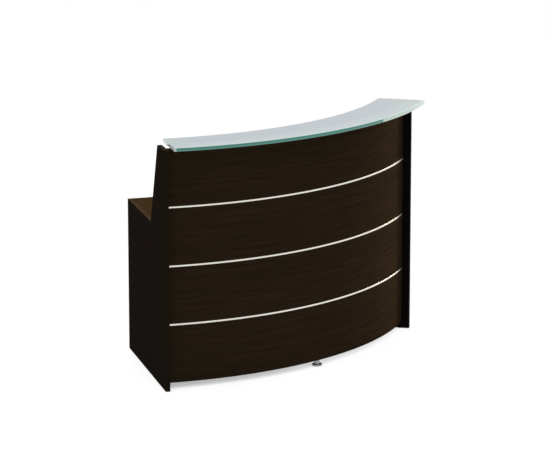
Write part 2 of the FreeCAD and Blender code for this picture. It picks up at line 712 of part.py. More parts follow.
core_outline = [
    ("places.core_back", "dims.glide_height"),
    ("places.core_front", "dims.glide_height"),
    ("places.core_front", "places.core_top"),
    ("places.core_top_back", "places.core_top"),
    ("places.core_notch", "places.core_desk"),
    ("places.core_back", "places.core_desk"),
]
edging_outline = [
    ("dims.back_radius", "dims.glide_height"),
    *core_outline[:1],
    *core_outline[:0:-1],
    ("places.end_front", "dims.glide_height"),
    ("places.end_front", "dims.end_height"),
    ("places.top_back_radius", "dims.end_height"),
    ("places.notch_radius", "dims.desk_height"),
    ("dims.back_radius", "dims.desk_height"),
]
batten_outline = box_outline(
    "places.batten_back", "places.batten_front", "dims.floor_gap", "places.batten_top")
side_ledger_outline = box_outline(
    "places.side_ledger_back", "places.side_ledger_front", "places.ledger_bottom", "places.work_bottom")
for word, side in SIDES.items():
    holes = side_holes[word]
    core = side_board(f"end_panel_{word}_board", side, core_outline, "dims.end_thickness", inward=False)
    drill(f"end_panel_{word}", core, [holes["screws"], holes["dowels"], holes["glides"]])
    keep(f"end_panel_{word}_edging", side_board(
        f"end_panel_{word}_edging_band", side, edging_outline, "dims.end_thickness", inward=False))
    batten = side_board(
        f"corner_batten_{word}_board", side, batten_outline, "dims.batten_width", inward=True)
    drill(f"corner_batten_{word}", batten, [holes["screws"]])
    ledger = side_board(
        f"worksurface_ledger_{word}_board", side, side_ledger_outline, "dims.ledger_depth", inward=True)
    drill(f"worksurface_ledger_{word}", ledger, [holes["screws"], holes["top_screws"]])

# Worksurface

front_ledger = sector("worksurface_ledger_front_board", box_outline(
    "places.ledger_inner", "places.work_outer", "places.ledger_bottom", "places.work_bottom"),
    "places.ledger_half_angle")
drill("worksurface_ledger_front", front_ledger, [front_ledger_holes, front_top_holes])
work_board = sector("worksurface_board", box_outline(
    "places.work_inner", "places.work_outer", "places.work_bottom", "dims.desk_height"))
drill("worksurface", work_board, [front_top_holes] + [side_holes[word]["top_screws"] for word in SIDES])
keep("worksurface_edging", sector("worksurface_edging_band", box_outline(
    "dims.back_radius", "places.core_back", "places.work_bottom", "dims.desk_height")))

# Glass top

arm_frame = new_frame("glass_arm_bars", "-dims.arm_half_angle")
arm_sketch = new_sketch(arm_frame, "XY_Plane", "places.front_top")
draw_outline(arm_sketch, [
    ("places.arm_back + dims.arm_corner", "-dims.arm_width / 2"),
    ("places.arm_front - dims.arm_corner", "-dims.arm_width / 2"),
    ("places.arm_front", "-dims.arm_width / 2 + dims.arm_corner"),
    ("places.arm_front", "dims.arm_width / 2 - dims.arm_corner"),
    ("places.arm_front - dims.arm_corner", "dims.arm_width / 2"),
    ("places.arm_back + dims.arm_corner", "dims.arm_width / 2"),
    ("places.arm_back", "dims.arm_width / 2 - dims.arm_corner"),
    ("places.arm_back", "-dims.arm_width / 2 + dims.arm_corner"),
])
arm_bar = extrude(arm_frame, arm_sketch, "dims.arm_thickness")
spread(arm_frame, [arm_bar], *arm_ring)
drill("glass_arms", arm_frame, [arm_holes])

pad_frame = new_frame("glass_pad_discs", "-dims.arm_half_angle")
pad_places = [
    ("places.arm_back + dims.glass_pad_inset", "0"),
    ("places.arm_front - dims.glass_pad_inset", "0"),
]
pad_discs = add_rods(
    pad_frame, "XY_Plane", pad_places, "dims.glass_pad_diameter", "places.arm_top",
    "dims.glass_gap - dims.arm_thickness")
keep("glass_pads", spread(pad_frame, [pad_discs], *arm_ring))

glass = sector("glass_top_sheet", box_outline(
    "places.glass_inner", "places.glass_outer", "places.glass_bottom", "places.glass_top"),
    "places.glass_half_angle")
ease_edges(glass, "Fillet", "Radius", "dims.glass_corner_radius", is_upright)
ease_edges(glass, "Chamfer", "Size", "dims.glass_arris", is_level)
keep("glass_top", glass)

doc.recompute()
for item in doc.Objects:
    if "Invalid" in item.State or "Error" in item.State:
        raise RuntimeError(f"{item.Label} did not build: {item.State}")
for label, piece in parts.items():
    if piece.Shape.isNull() or not piece.Shape.isValid() or not piece.Shape.Solids:
        raise RuntimeError(f"{label} has no valid solid")
    if piece.TypeId == "Part::Cut" and piece.Shape.Volume >= piece.Base.Shape.Volume:
        raise RuntimeError(f"{label} lost nothing to its holes")

os.makedirs("parts", exist_ok=True)
for label, piece in parts.items():
    piece.Shape.exportStep(os.path.join("parts", f"{label}.step"))
    print(f"{label}: {len(piece.Shape.Solids)} solids, {piece.Shape.Volume:.0f} cubic millimetres")
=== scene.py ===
import logging
import math
from dataclasses import dataclass, replace
from enum import Enum
from functools import lru_cache
from typing import Callable, ClassVar, Iterable, Optional, Union

import bmesh
import bpy
import numpy as np
from mathutils import Matrix, Vector


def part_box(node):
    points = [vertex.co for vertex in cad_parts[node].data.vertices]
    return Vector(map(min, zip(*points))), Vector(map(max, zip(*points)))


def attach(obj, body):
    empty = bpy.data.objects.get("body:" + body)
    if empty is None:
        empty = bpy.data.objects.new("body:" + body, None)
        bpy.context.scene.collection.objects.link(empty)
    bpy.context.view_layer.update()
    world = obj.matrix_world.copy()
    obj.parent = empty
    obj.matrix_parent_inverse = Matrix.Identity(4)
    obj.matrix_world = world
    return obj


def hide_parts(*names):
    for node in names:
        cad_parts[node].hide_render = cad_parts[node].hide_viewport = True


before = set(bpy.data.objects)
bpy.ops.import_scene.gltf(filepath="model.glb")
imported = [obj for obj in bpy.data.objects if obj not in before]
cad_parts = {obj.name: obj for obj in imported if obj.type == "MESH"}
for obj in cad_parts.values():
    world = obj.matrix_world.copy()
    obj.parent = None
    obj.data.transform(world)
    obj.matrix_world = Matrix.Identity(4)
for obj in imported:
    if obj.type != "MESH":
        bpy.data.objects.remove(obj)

log = logging.getLogger("reception_counter")
MILLIMETRE = 0.001
NEARBY = MILLIMETRE / 10
SAME_PLACE = MILLIMETRE / 100
WELD = MILLIMETRE / 1000
COSINE_BLEND = 0.5
COUNTER = "counter"

Colour = tuple[float, float, float]
Limits = tuple[float, float]
Number = Union[float, "Reading"]
FaceTest = Callable[[bmesh.types.BMFace], bool]
EdgeTest = Callable[[bmesh.types.BMEdge], bool]
WHITE: Colour = (1.0, 1.0, 1.0)
BLACK: Colour = (0.0, 0.0, 0.0)


def paint(red: int, green: int, blue: int) -> Colour:
    """Linear colour of a paint given as screen values from 0 to 255.

    Args:
        red: Red level.
        green: Green level.
        blue: Blue level.

    Returns:
        The colour.
    """
    def linear(level: int) -> float:
        """One channel from screen to linear."""
        share = level / 255
        return share / 12.92 if share <= 0.04045 else ((share + 0.055) / 1.055) ** 2.4

    return linear(red), linear(green), linear(blue)


class Reading:
    """One number of a shader that takes part in Python arithmetic."""

    def __init__(self, graph: "Graph", socket: bpy.types.NodeSocket) -> None:
        """Wrap an output socket of a graph."""
        self.graph = graph
        self.socket = socket

    def _math(self, operation: str, *terms: Number) -> "Reading":
        """Add a Math node.

        Args:
            operation: The Math node's operation.
            terms: Its inputs, readings or plain numbers.

        Returns:
            The node's result.
        """
        node = self.graph.node("ShaderNodeMath", {"operation": operation}, dict(enumerate(terms)))
        return Reading(self.graph, node.outputs[0])

    def __add__(self, other: Number) -> "Reading":
        """Sum."""
        return self._math("ADD", self, other)

    __radd__ = __add__

    def __sub__(self, other: Number) -> "Reading":
        """Difference."""
        return self._math("SUBTRACT", self, other)

    def __rsub__(self, other: Number) -> "Reading":
        """Difference with the reading second."""
        return self._math("SUBTRACT", other, self)

    def __mul__(self, other: Number) -> "Reading":
        """Product."""
        return self._math("MULTIPLY", self, other)

    __rmul__ = __mul__

    def __truediv__(self, other: Number) -> "Reading":
        """Quotient."""
        return self._math("DIVIDE", self, other)

    def __rtruediv__(self, other: Number) -> "Reading":
        """Quotient with the reading second."""
        return self._math("DIVIDE", other, self)

    def __abs__(self) -> "Reading":
        """Size without sign."""
        return self._math("ABSOLUTE", self)

    def root(self) -> "Reading":
        """Square root."""
        return self._math("SQRT", self)

    def angle_to(self, other: "Reading") -> "Reading":
        """Angle of the point (other, self) in radians."""
        return self._math("ARCTAN2", self, other)

    def larger(self, other: Number) -> "Reading":
        """The larger of two."""
        return self._math("MAXIMUM", self, other)

    def climb(self, low: float, high: float) -> "Reading":
        """Smooth step from 0 to 1.

        Args:
            low: Value up to which the step is 0.
            high: Value from which it is 1.

        Returns:
            The step.
        """
        inputs = {"Value": self, "From Min": low, "From Max": high}
        node = self.graph.node("ShaderNodeMapRange", {"interpolation_type": "SMOOTHSTEP"}, inputs)
        return Reading(self.graph, node.outputs[0])


class Graph:
    """Node tree of one material or of the world."""

    def __init__(self, tree: bpy.types.NodeTree) -> None:
        """Empty the tree."""
        self.tree = tree
        tree.nodes.clear()

    def node(
        self,
        kind: str,
        settings: Optional[dict] = None,
        inputs: Optional[dict] = None,
    ) -> bpy.types.Node:
        """Add any node.

        Args:
            kind: The node's type.
            settings: Attributes that are set first; "stops" sets a ramp's places and colours.
            inputs: Socket names or numbers, with a value, a reading or a socket to link.

        Returns:
            The node.
        """
        made = self.tree.nodes.new(kind)
        for name, setting in (settings or {}).items():
            if name == "stops":
                self._set_stops(made.color_ramp, setting)
            else:
                setattr(made, name, setting)
        for name, given in (inputs or {}).items():
            if isinstance(given, Reading):
                given = given.socket
            if isinstance(given, bpy.types.NodeSocket):
                self.tree.links.new(given, made.inputs[name])
            elif isinstance(given, tuple) and len(given) == 3 and made.inputs[name].type == "RGBA":
                made.inputs[name].default_value = (*given, 1)
            else:
                made.inputs[name].default_value = given
        return made

    @staticmethod
    def _set_stops(ramp: bpy.types.ColorRamp, stops: Iterable[tuple[float, Colour]]) -> None:
        """Give a ramp its places and colours.

        Args:
            ramp: The ramp.
            stops: A place from 0 to 1 and a colour for each stop.
        """
        places = list(stops)
        while len(ramp.elements) < len(places):
            ramp.elements.new(1)
        for element, (place, colour) in zip(ramp.elements, places):
            element.position = place
            element.color = (*colour, 1)

    def parts(self, vector: bpy.types.NodeSocket) -> tuple[Reading, Reading, Reading]:
        """X, Y and Z of a vector."""
        sockets = self.node("ShaderNodeSeparateXYZ", None, {0: vector}).outputs
        return Reading(self, sockets[0]), Reading(self, sockets[1]), Reading(self, sockets[2])

    def place(self) -> tuple[Reading, Reading, Reading]:
        """X, Y and Z of the shaded point in the counter's frame."""
        return self.parts(self.node("ShaderNodeTexCoord").outputs["Object"])

    def facing(self) -> tuple[Reading, Reading, Reading]:
        """X, Y and Z of the surface's true normal."""
        return self.parts(self.node("ShaderNodeNewGeometry").outputs["True Normal"])

    def glancing(self, normal: bpy.types.NodeSocket) -> Reading:
        """0 where a surface with this normal is seen straight on, 1 where it is seen along itself."""
        inputs = {"Blend": COSINE_BLEND, "Normal": normal}
        return Reading(self, self.node("ShaderNodeLayerWeight", None, inputs).outputs["Facing"])

    def vector(self, across: Number, along: Number, up: Number) -> bpy.types.NodeSocket:
        """Vector of three numbers."""
        return self.node("ShaderNodeCombineXYZ", None, {0: across, 1: along, 2: up}).outputs[0]

    def noise(
        self,
        vector: bpy.types.NodeSocket,
        scale: float,
        detail: float,
        rough: float = 0.5,
    ) -> Reading:
        """Soft noise between 0 and 1.

        Args:
            vector: Where the noise is read.
            scale: Waves for each unit of the vector.
            detail: Octaves of finer noise.
            rough: Weight of the finer octaves.

        Returns:
            The noise.
        """
        inputs = {"Vector": vector, "Scale": scale, "Detail": detail, "Roughness": rough}
        return Reading(self, self.node("ShaderNodeTexNoise", None, inputs).outputs[0])

    def mix(self, share: Number, first: object, second: object) -> bpy.types.NodeSocket:
        """Colour between two colours."""
        inputs = {0: share, 6: first, 7: second}
        return self.node("ShaderNodeMix", {"data_type": "RGBA"}, inputs).outputs[2]

    def ramp(self, share: Reading, stops: Iterable[tuple[float, Colour]]) -> bpy.types.NodeSocket:
        """Colour along a ramp."""
        return self.node("ShaderNodeValToRGB", {"stops": stops}, {0: share}).outputs[0]

    def bump(self, height: Reading, depth: float, strength: float) -> bpy.types.NodeSocket:
        """Normal of a surface with small hills, depth metres high."""
        inputs = {"Height": height, "Distance": depth, "Strength": strength}
        return self.node("ShaderNodeBump", None, inputs).outputs[0]

    def surface(self, **inputs: object) -> None:
        """Finish the tree with a Principled shader.

        Args:
            inputs: The shader's sockets, with underscores for the blanks in their names.
        """
        named = {name.replace("_", " "): given for name, given in inputs.items()}
        shader = self.node("ShaderNodeBsdfPrincipled", None, named)
        self.node("ShaderNodeOutputMaterial", None, {"Surface": shader.outputs[0]})


@dataclass(frozen=True)
class Waves:
    """Drawn-out noise, given by its waves for each metre in three directions."""

    run: float
    wide: float
    deep: float
    detail: float
    rough: float = 0.5

    def read(self, run: Reading, wide: Reading, deep: Reading) -> Reading:
        """The noise at a place.

        Args:
            run: Way along the first direction.
            wide: Way along the second.
            deep: Way along the third.

        Returns:
            The noise, between 0 and 1.
        """
        graph = run.graph
        point = graph.vector(run * self.run, wide * self.wide, deep * self.deep)
        return graph.noise(point, 1, self.detail, self.rough)


class Grain(Enum):
    """Direction of a board's grain."""

    ROUND_THE_CURVE = "round the curve"
    UPRIGHT = "upright"
    LEVEL = "level"


def plan_of(node: str) -> np.ndarray:
    """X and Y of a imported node's corner points."""
    return np.array([v.co[:2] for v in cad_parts[node].data.vertices])


@dataclass(frozen=True)
class Curve:
    """The counter's upright axis, from which all its curved pieces are struck."""

    axis_y: float
    front_radius: float

    @classmethod
    def of_frame(cls) -> "Curve":
        """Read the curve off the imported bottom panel's middle and end.

        Returns:
            The curve of the front panels' outer faces.
        """
        points = plan_of("front_panel_bottom")
        low_y = points[:, 1].min()
        half_width = points[:, 0].max()
        corner_y = points[points[:, 0] > half_width - NEARBY][:, 1].min()
        rise = corner_y - low_y
        radius = (half_width ** 2 + rise ** 2) / (2 * rise)
        return cls(axis_y=low_y + radius, front_radius=radius)

    def bent(self, graph: Graph) -> tuple[Reading, Reading, Reading]:
        """Place of the shaded point, measured by the curve.

        Args:
            graph: The material's node tree.

        Returns:
            Way along the front, way out from the axis, and height.
        """
        across, along, up = graph.place()
        ahead = self.axis_y - along
        radius = (across * across + ahead * ahead).root()
        return across.angle_to(ahead) * self.front_radius, radius, up

    def reach(self, node: str) -> float:
        """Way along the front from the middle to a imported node's end."""
        points = plan_of(node)
        return float(np.arctan2(points[:, 0], self.axis_y - points[:, 1]).max()) * self.front_radius

    def span(self, node: str) -> float:
        """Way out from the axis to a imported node's outer face."""
        points = plan_of(node)
        return float(np.hypot(points[:, 0], self.axis_y - points[:, 1]).max())

    def outward(self, point: Vector) -> Vector:
        """Level direction from the axis to a point."""
        return Vector((point.x, point.y - self.axis_y, 0)).normalized()


CURVE = Curve.of_frame()


@dataclass(frozen=True)
class Finish:
    """A surface finish; each kind draws its own nodes."""

    name: str

    @lru_cache(maxsize=None)
    def material(self) -> bpy.types.Material:
        """Make the finish's material, once.

        Returns:
            The material.
        """
        made = bpy.data.materials.new(self.name)
        made.use_nodes = True
        self.draw(Graph(made.node_tree))
        return made

    def draw(self, graph: Graph) -> None:
        """Draw the finish's nodes."""
        raise NotImplementedError

    def put_on(self, piece: bpy.types.Object) -> None:
        """Give a piece this finish alone."""
        piece.data.materials.clear()
        piece.data.materials.append(self.material())


@dataclass(frozen=True)
class Wood(Finish):
    """Wood or wood-print board with streaks and pores along its grain."""

    SWAY: ClassVar[Waves] = Waves(run=1.3, wide=5, deep=5, detail=2)
    SWAY_WIDTH: ClassVar[float] = 0.006
    BANDS: ClassVar[Waves] = Waves(run=0.9, wide=60, deep=9, detail=3, rough=0.55)
    BAND_SHARE: ClassVar[float] = 0.25
    STREAKS: ClassVar[Waves] = Waves(run=4.5, wide=300, deep=60, detail=3, rough=0.6)
    STREAK_SHARE: ClassVar[float] = 0.8
    STREAK_GLOSS: ClassVar[float] = 0.06
    PORES: ClassVar[Waves] = Waves(run=42, wide=1150, deep=300, detail=2)
    PORE_RISE: ClassVar[Limits] = (0.56, 0.72)
    PORE_SHARE: ClassVar[float] = 0.5
    PORE_SHADE: ClassVar[float] = 0.6
    PORE_ROUGHNESS: ClassVar[float] = 0.12
    PORE_STRENGTH: ClassVar[float] = 0.6
    TONE_CUT: ClassVar[float] = 0.025
    TONE_STOPS: ClassVar[tuple[float, float, float]] = (0.34, 0.5, 0.68)

    grain: Grain
    dark: Colour
    middle: Colour
    light: Colour
    roughness: float
    gloss: float = 0.012
    gloss_roughness: float = 0.35
    pore_depth: float = 0.00004

    def draw(self, graph: Graph) -> None:
        """Draw long soft bands, fine streaks and short pores along the grain.

        Args:
            graph: The material's node tree.
        """
        bend, out, up = CURVE.bent(graph)
        across, along, _ = graph.place()
        run, wide, deep = {
            Grain.ROUND_THE_CURVE: (bend, up, out),
            Grain.UPRIGHT: (up, out, bend),
            Grain.LEVEL: (across, along, up),
        }[self.grain]
        wide = wide + self.SWAY.read(run, wide, deep) * self.SWAY_WIDTH
        bands = self.BANDS.read(run, wide, deep)
        streaks = self.STREAKS.read(run, wide, deep)
        pores = self.PORES.read(run, wide, deep).climb(*self.PORE_RISE)
        tone = bands * self.BAND_SHARE + streaks * self.STREAK_SHARE - self.TONE_CUT
        wood = graph.ramp(tone, zip(self.TONE_STOPS, (self.dark, self.middle, self.light)))
        shade = tuple(channel * self.PORE_SHADE for channel in self.dark)
        graph.surface(
            Base_Color=self.tinted(graph, graph.mix(pores * self.PORE_SHARE, wood, shade)),
            Roughness=self.roughness + pores * self.PORE_ROUGHNESS - streaks * self.STREAK_GLOSS,
            Specular_IOR_Level=0.0,
            Coat_Weight=self.gloss,
            Coat_Roughness=self.gloss_roughness,
            Normal=graph.bump(1 - pores, self.pore_depth, self.PORE_STRENGTH),
        )

    def tinted(self, graph: Graph, wood: bpy.types.NodeSocket) -> bpy.types.NodeSocket:
        """The wood's colour, as it is."""
        return wood


@dataclass(frozen=True)
class EndBoard(Wood):
    """Wood-print board with painted shade: darker where the board faces the counter's middle."""

    inner_shade: Colour = paint(30, 25, 25)
    inner_shade_facing: Limits = (0.4, 0.7)

    def tinted(self, graph: Graph, wood: bpy.types.NodeSocket) -> bpy.types.NodeSocket:
        """Paint shade: darken the wood where the board faces the counter's middle.

        Args:
            graph: The material's node tree.
            wood: The wood's colour.

        Returns:
            The changed colour.
        """
        across, _, _ = graph.place()
        turned, _, _ = graph.facing()
        inward = 0 - across * turned / abs(across)
        # Painted shade: faces turned to the counter's middle are darkened, as they lie in shadow.
        return graph.mix(inward.climb(*self.inner_shade_facing), wood, self.inner_shade)


@dataclass(frozen=True)
class Edging(Wood):
    """Edging strip, with a painted highlight: lighter where it faces up, along the boards' edges at desk
    height.
    """

    highlight_tint: Colour = (1.85, 1.68, 1.4)
    desk_margin: float = 0.1
    highlight_facing: Limits = (0.6, 0.95)

    def tinted(self, graph: Graph, wood: bpy.types.NodeSocket) -> bpy.types.NodeSocket:
        """Paint a highlight: make the wood lighter where the strip faces up at desk height.

        Args:
            graph: The material's node tree.
            wood: The wood's colour.

        Returns:
            The changed colour.
        """
        _, _, up = graph.place()
        _, _, lift = graph.facing()
        _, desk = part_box("worksurface")
        # Painted highlight: up-facing faces at desk height are made lighter, as if lit from above.
        level = lift.climb(*self.highlight_facing) * (1 - up.climb(desk.z, desk.z + self.desk_margin))
        settings = {"data_type": "RGBA", "blend_type": "MULTIPLY"}
        inputs = {0: level, 6: wood, 7: self.highlight_tint}
        return graph.node("ShaderNodeMix", settings, inputs).outputs[2]


@dataclass(frozen=True)
class BrushedMetal(Finish):
    """Metal with fine brush lines round the curve."""

    LINE_RUN: ClassVar[float] = 9
    LINE_RISE: ClassVar[Limits] = (0.35, 0.75)
    LINE_SHARE: ClassVar[float] = 0.35
    LINE_ROUGHNESS: ClassVar[float] = 0.14
    LINE_DEPTH: ClassVar[float] = 0.000015
    LINE_STRENGTH: ClassVar[float] = 0.5
    STAINS: ClassVar[Waves] = Waves(run=14, wide=40, deep=40, detail=2)
    STAIN_SHARE: ClassVar[float] = 0.1
    STAIN_ROUGHNESS: ClassVar[float] = 0.05
    WORN: ClassVar[float] = 0.8

    colour: Colour
    roughness: float
    line_scale: float

    def draw(self, graph: Graph) -> None:
        """Draw fine lines in brightness and gloss along the brushing.

        Args:
            graph: The material's node tree.
        """
        bend, out, up = CURVE.bent(graph)
        brushing = Waves(self.LINE_RUN, self.line_scale, self.line_scale, detail=3, rough=0.6)
        lines = brushing.read(bend, out, up)
        stains = self.STAINS.read(bend, out, up)
        wear = lines.climb(*self.LINE_RISE) * self.LINE_SHARE + stains * self.STAIN_SHARE
        worn = tuple(channel * self.WORN for channel in self.colour)
        graph.surface(
            Base_Color=graph.mix(wear, self.colour, worn),
            Metallic=1.0,
            Roughness=self.roughness + lines * self.LINE_ROUGHNESS + stains * self.STAIN_ROUGHNESS,
            Normal=graph.bump(lines, self.LINE_DEPTH, self.LINE_STRENGTH),
        )


@dataclass(frozen=True)
class PlatedMetal(Finish):
    """Bright plating, a little uneven in gloss."""

    WIPES: ClassVar[Waves] = Waves(run=60, wide=60, deep=220, detail=3)
    WIPE_SHARE: ClassVar[float] = 0.12
    WIPE_ROUGHNESS: ClassVar[float] = 0.08
    WIPE_DEPTH: ClassVar[float] = 0.00001
    WIPE_STRENGTH: ClassVar[float] = 0.3
    SPECKS: ClassVar[Waves] = Waves(run=900, wide=900, deep=900, detail=2)
    SPECK_RISE: ClassVar[Limits] = (0.62, 0.75)
    SPECK_SHARE: ClassVar[float] = 0.3
    SPECK_ROUGHNESS: ClassVar[float] = 0.1
    DULL: ClassVar[float] = 0.72

    colour: Colour
    roughness: float

    def draw(self, graph: Graph) -> None:
        """Draw soft wipe marks in the gloss and faint specks in the colour.

        Args:
            graph: The material's node tree.
        """
        across, along, up = graph.place()
        wipes = self.WIPES.read(across, along, up)
        specks = self.SPECKS.read(across, along, up).climb(*self.SPECK_RISE)
        marks = specks * self.SPECK_SHARE + wipes * self.WIPE_SHARE
        dull = tuple(channel * self.DULL for channel in self.colour)
        graph.surface(
            Base_Color=graph.mix(marks, self.colour, dull),
            Metallic=1.0,
            Roughness=self.roughness + wipes * self.WIPE_ROUGHNESS + specks * self.SPECK_ROUGHNESS,
            Normal=graph.bump(wipes, self.WIPE_DEPTH, self.WIPE_STRENGTH),
        )


@dataclass(frozen=True)
class Moulded(Finish):
    """Moulded plastic or rubber with a fine pebbled skin."""

    PEBBLES: ClassVar[float] = 2600
    PEBBLE_SHARE: ClassVar[float] = 0.25
    PEBBLE_ROUGHNESS: ClassVar[float] = 0.16
    PEBBLE_DEPTH: ClassVar[float] = 0.00003
    PEBBLE_STRENGTH: ClassVar[float] = 0.5
    CLOUDS: ClassVar[float] = 70
    CLOUD_SHARE: ClassVar[float] = 0.5
    CLOUD_GLOSS: ClassVar[float] = 0.06
    PALER: ClassVar[float] = 1.25
    PALE_LIFT: ClassVar[float] = 0.003

    colour: Colour
    roughness: float

    def draw(self, graph: Graph) -> None:
        """Draw fine pebbles in the skin and soft clouds in the colour.

        Args:
            graph: The material's node tree.
        """
        across, along, up = graph.place()
        point = graph.vector(across, along, up)
        pebbles = graph.noise(point, self.PEBBLES, detail=2)
        clouds = graph.noise(point, self.CLOUDS, detail=3)
        paling = clouds * self.CLOUD_SHARE + pebbles * self.PEBBLE_SHARE
        pale = tuple(channel * self.PALER + self.PALE_LIFT for channel in self.colour)
        graph.surface(
            Base_Color=graph.mix(paling, self.colour, pale),
            Roughness=self.roughness + pebbles * self.PEBBLE_ROUGHNESS - clouds * self.CLOUD_GLOSS,
            Specular_IOR_Level=0.35,
            Normal=graph.bump(pebbles, self.PEBBLE_DEPTH, self.PEBBLE_STRENGTH),
        )


@dataclass(frozen=True)
class FrostedGlass(Finish):
    """Thick glass, etched on its faces, with polished green edges that mirror at a glancing angle."""

    SHEET: ClassVar[str] = "glass_top"
    ETCHING: ClassVar[float] = 1500
    ETCHING_SHARE: ClassVar[float] = 0.08
    ETCHING_ROUGHNESS: ClassVar[float] = 0.06
    ETCHING_DEPTH: ClassVar[float] = 0.00001
    ETCHING_STRENGTH: ClassVar[float] = 0.4
    CLOUDS: ClassVar[float] = 9
    CLOUD_SHARE: ClassVar[float] = 0.1
    SEAM_SHARE: ClassVar[float] = 0.3
    FLAT_FACING: ClassVar[Limits] = (0.3, 0.9)
    POLISH: ClassVar[float] = 0.12
    FROST: ClassVar[float] = 0.3

    face: Colour
    face_floor_light: Colour
    face_end: Colour
    arris_highlight: Colour
    edge_upper: Colour
    edge_lower: Colour
    end_edge_light: Colour
    mirror: Colour
    end_painted_glow: Colour
    mirror_start: float
    mirror_full: float
    mirror_upper: float
    face_band: float
    end_band: float
    arris_highlight_band: float
    margin: float

    def draw(self, graph: Graph) -> None:
        """Draw etched faces, and clear green edges that mirror at a glancing angle.

        Args:
            graph: The material's node tree.
        """
        bend, out, up = CURVE.bent(graph)
        across, along, _ = graph.place()
        _, _, lift = graph.facing()
        flat = abs(lift).climb(*self.FLAT_FACING)
        point = graph.vector(across, along, up)
        etching = graph.noise(point, self.ETCHING, detail=2)
        clouds = graph.noise(point, self.CLOUDS, detail=3)
        speckle = clouds * self.CLOUD_SHARE + etching * self.ETCHING_SHARE
        face = self.etched(bend, out, speckle)
        upper = self.upper_sheet(up)
        end = CURVE.reach(self.SHEET)
        at_end = abs(bend).climb(end - self.end_band, end - self.end_band / 3)
        rim = graph.mix(upper, self.edge_lower, self.edge_upper)
        # Painted light: the end faces are near white, light painted in for what shows through the clear
        # glass ends.
        rim = graph.mix(at_end, rim, self.end_edge_light)
        glancing = graph.glancing(graph.vector(across / out, (along - CURVE.axis_y) / out, 0))
        glance = glancing.climb(self.mirror_start, self.mirror_full) * (1 - at_end)
        mirrored = glance * (1 - upper * (1 - self.mirror_upper)) * (1 - flat)
        graph.surface(
            Base_Color=graph.mix(mirrored, graph.mix(flat, rim, face), self.mirror),
            Metallic=mirrored,
            Roughness=self.POLISH + flat * self.FROST + etching * self.ETCHING_ROUGHNESS,
            Specular_IOR_Level=0.1,
            IOR=1.5,
            Transmission_Weight=0.04,
            Coat_Weight=1 - flat,
            Coat_Roughness=0.03,
            # Painted light: the end faces glow as if lit from within, though the glass is no lamp.
            Emission_Color=graph.mix(at_end * (1 - flat), BLACK, self.end_painted_glow),
            Emission_Strength=1.0,
            Normal=graph.bump(etching * flat, self.ETCHING_DEPTH, self.ETCHING_STRENGTH),
        )

    def etched(self, bend: Reading, out: Reading, speckle: Reading) -> bpy.types.NodeSocket:
        """Colour of the faces: painted light where the sheet hangs over the floor, lighter at the ends,
        and a painted highlight along the outer edge.

        Args:
            bend: Way along the front.
            out: Way out from the axis.
            speckle: Share of etching and clouds.

        Returns:
            The colour.
        """
        graph = bend.graph
        end, outer = CURVE.reach(self.SHEET), CURVE.span(self.SHEET)
        # Painted light: the faces are lighter where the sheet hangs out over the white floor.
        floor_light = out.climb(CURVE.front_radius, CURVE.front_radius + self.margin)
        near_end = abs(bend).climb(end - self.face_band, end)
        # Painted highlight: a light line along the outer edge of the faces.
        edge_highlight_share = out.climb(outer - self.arris_highlight_band, outer - self.arris_highlight_band / 2)
        face = graph.mix(floor_light, self.face, self.face_floor_light)
        face = graph.mix(near_end, face, self.face_end)
        face = graph.mix(speckle, face, self.face_end)
        return graph.mix(edge_highlight_share, face, self.arris_highlight)

    def upper_sheet(self, up: Reading) -> Reading:
        """Tell the upper of the two bonded sheets from the lower.

        Args:
            up: Height.

        Returns:
            1 in the upper sheet, 0 in the lower.
        """
        low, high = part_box(self.SHEET)
        middle = (low.z + high.z) / 2
        seam = (high.z - middle) * self.SEAM_SHARE
        return up.climb(middle - seam, middle + seam)


